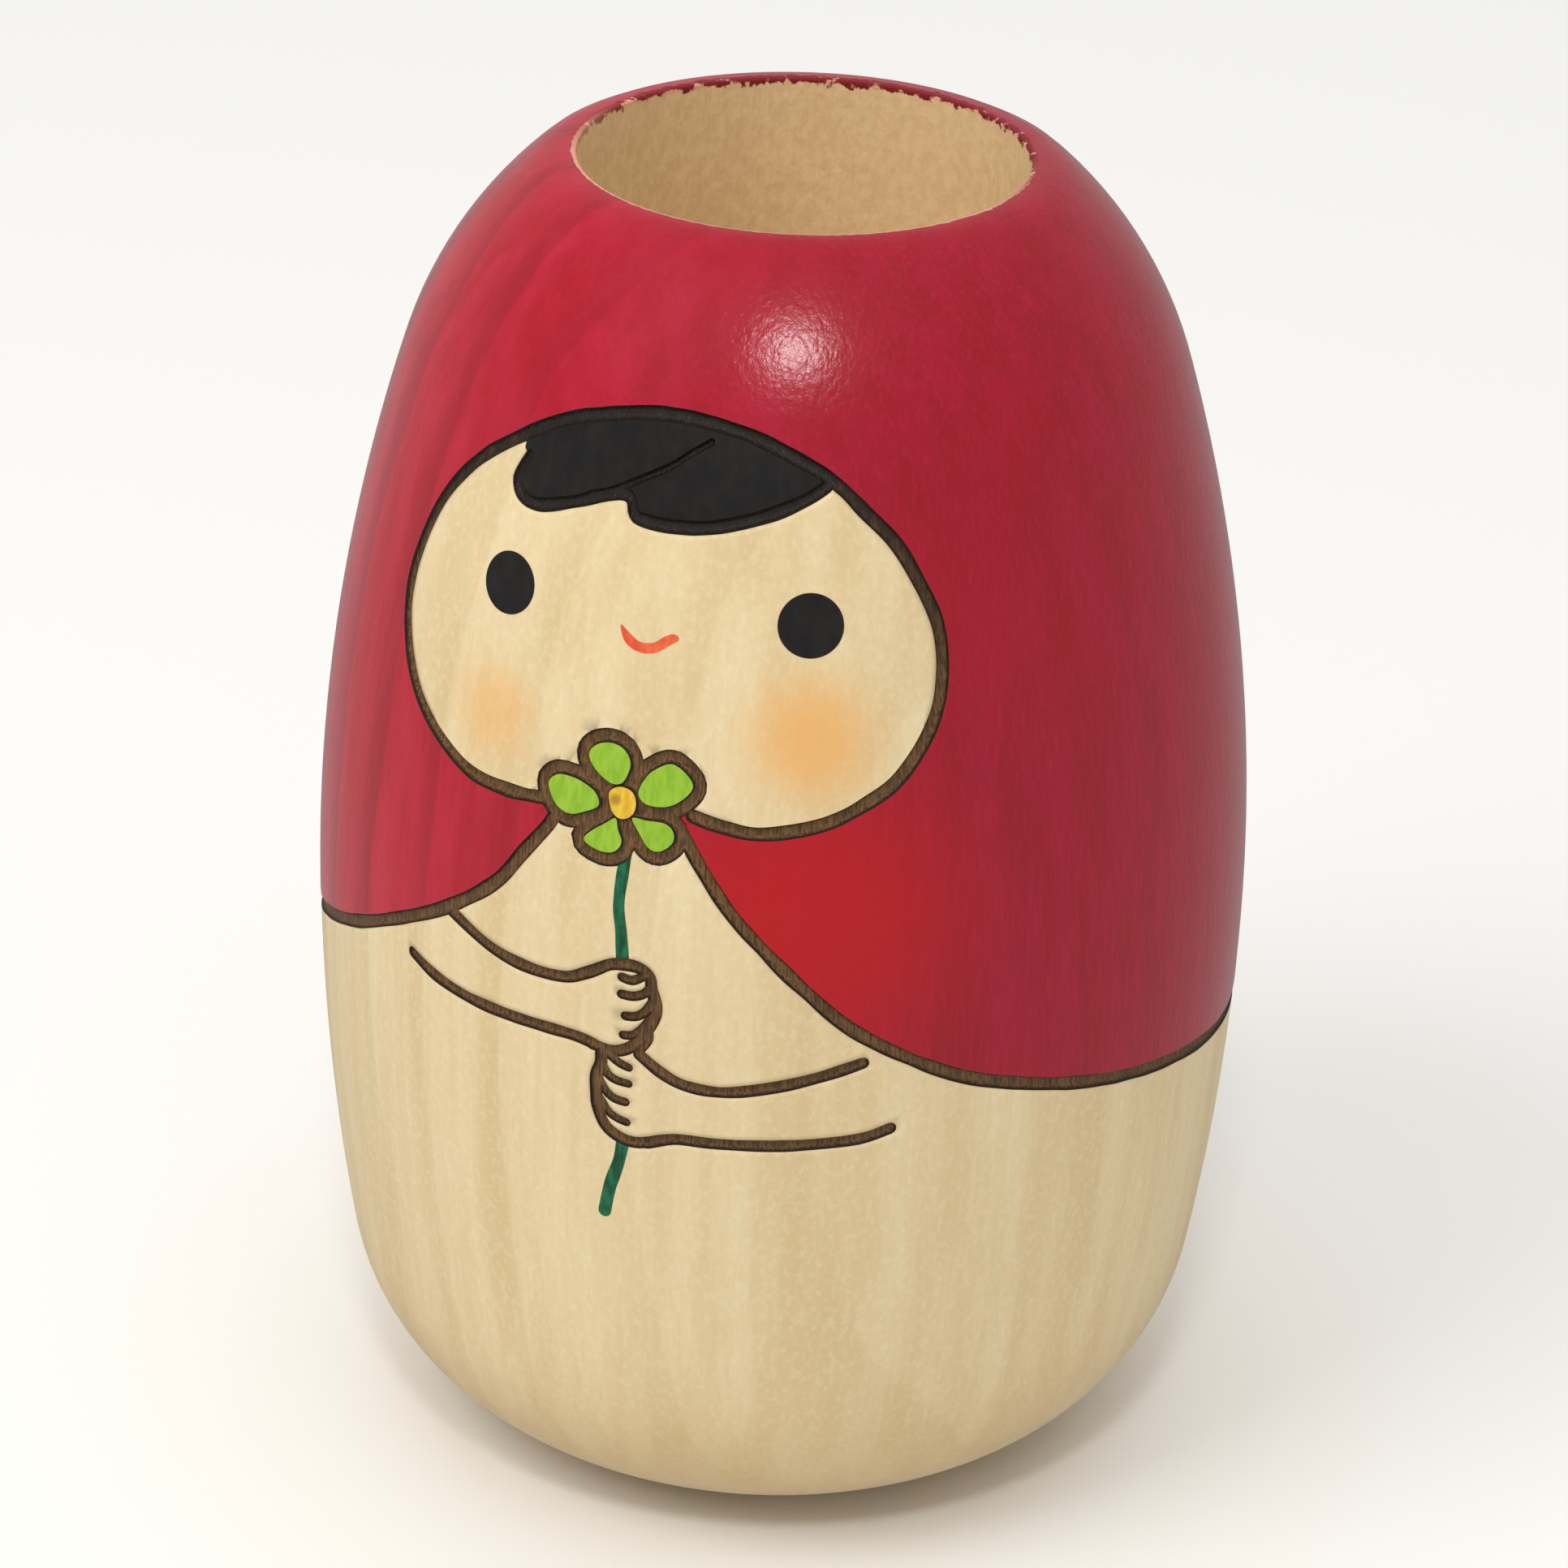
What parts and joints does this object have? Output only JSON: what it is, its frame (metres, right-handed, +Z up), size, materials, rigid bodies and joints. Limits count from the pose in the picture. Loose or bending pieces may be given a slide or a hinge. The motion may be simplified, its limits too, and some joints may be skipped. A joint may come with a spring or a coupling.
{
  "type": "kokeshi doll pen stand",
  "caption": "Egg-shaped turned wooden kokeshi doll with burnt lines and a dyed hood, open at the crown as a straight round well that holds pens or brushes.",
  "frame": {"origin": "middle of the base, on the surface the doll stands on", "axes": "+Z up along the turning axis and the well; the doll's face looks along -Y; +X is towards the doll's own left hand"},
  "size_m": [0.0642, 0.0641, 0.092],
  "materials": {
    "turned_wood": "fine pale hardwood, turned and sanded, satin wax",
    "red_dye": "transparent red dye under gloss lacquer, grain showing",
    "black_lacquer": "black lacquer, semi gloss",
    "orange_paint": "opaque orange-red paint, satin",
    "cheek_dye": "sprayed pale orange dye fading into the wood",
    "leaf_green_paint": "opaque leaf-green paint, satin",
    "yellow_paint": "opaque yellow paint, satin",
    "dark_green_dye": "dark green dye drawn with a brush",
    "charred_wood": "burnt groove, brown with darker edges, matt"
  },
  "bodies": {
    "root": {"turned_body": "turned_wood", "hood_coat": "red_dye", "hair_coat": "black_lacquer", "eye_left": "black_lacquer", "eye_right": "black_lacquer", "mouth": "orange_paint", "cheek_left": "cheek_dye", "cheek_right": "cheek_dye", "petal_1": "leaf_green_paint", "petal_2": "leaf_green_paint", "petal_3": "leaf_green_paint", "petal_4": "leaf_green_paint", "petal_5": "leaf_green_paint", "flower_centre": "yellow_paint", "stem_upper": "dark_green_dye", "stem_lower": "dark_green_dye", "face_line": "charred_wood", "flower_line": "charred_wood", "hem_line": "charred_wood", "hair_line": "charred_wood", "hand_line_upper": "charred_wood", "hand_line_lower": "charred_wood", "arm_line_left_upper": "charred_wood", "arm_line_left_lower": "charred_wood", "arm_line_right_upper": "charred_wood", "arm_line_right_lower": "charred_wood"}
  },
  "joints": []
}
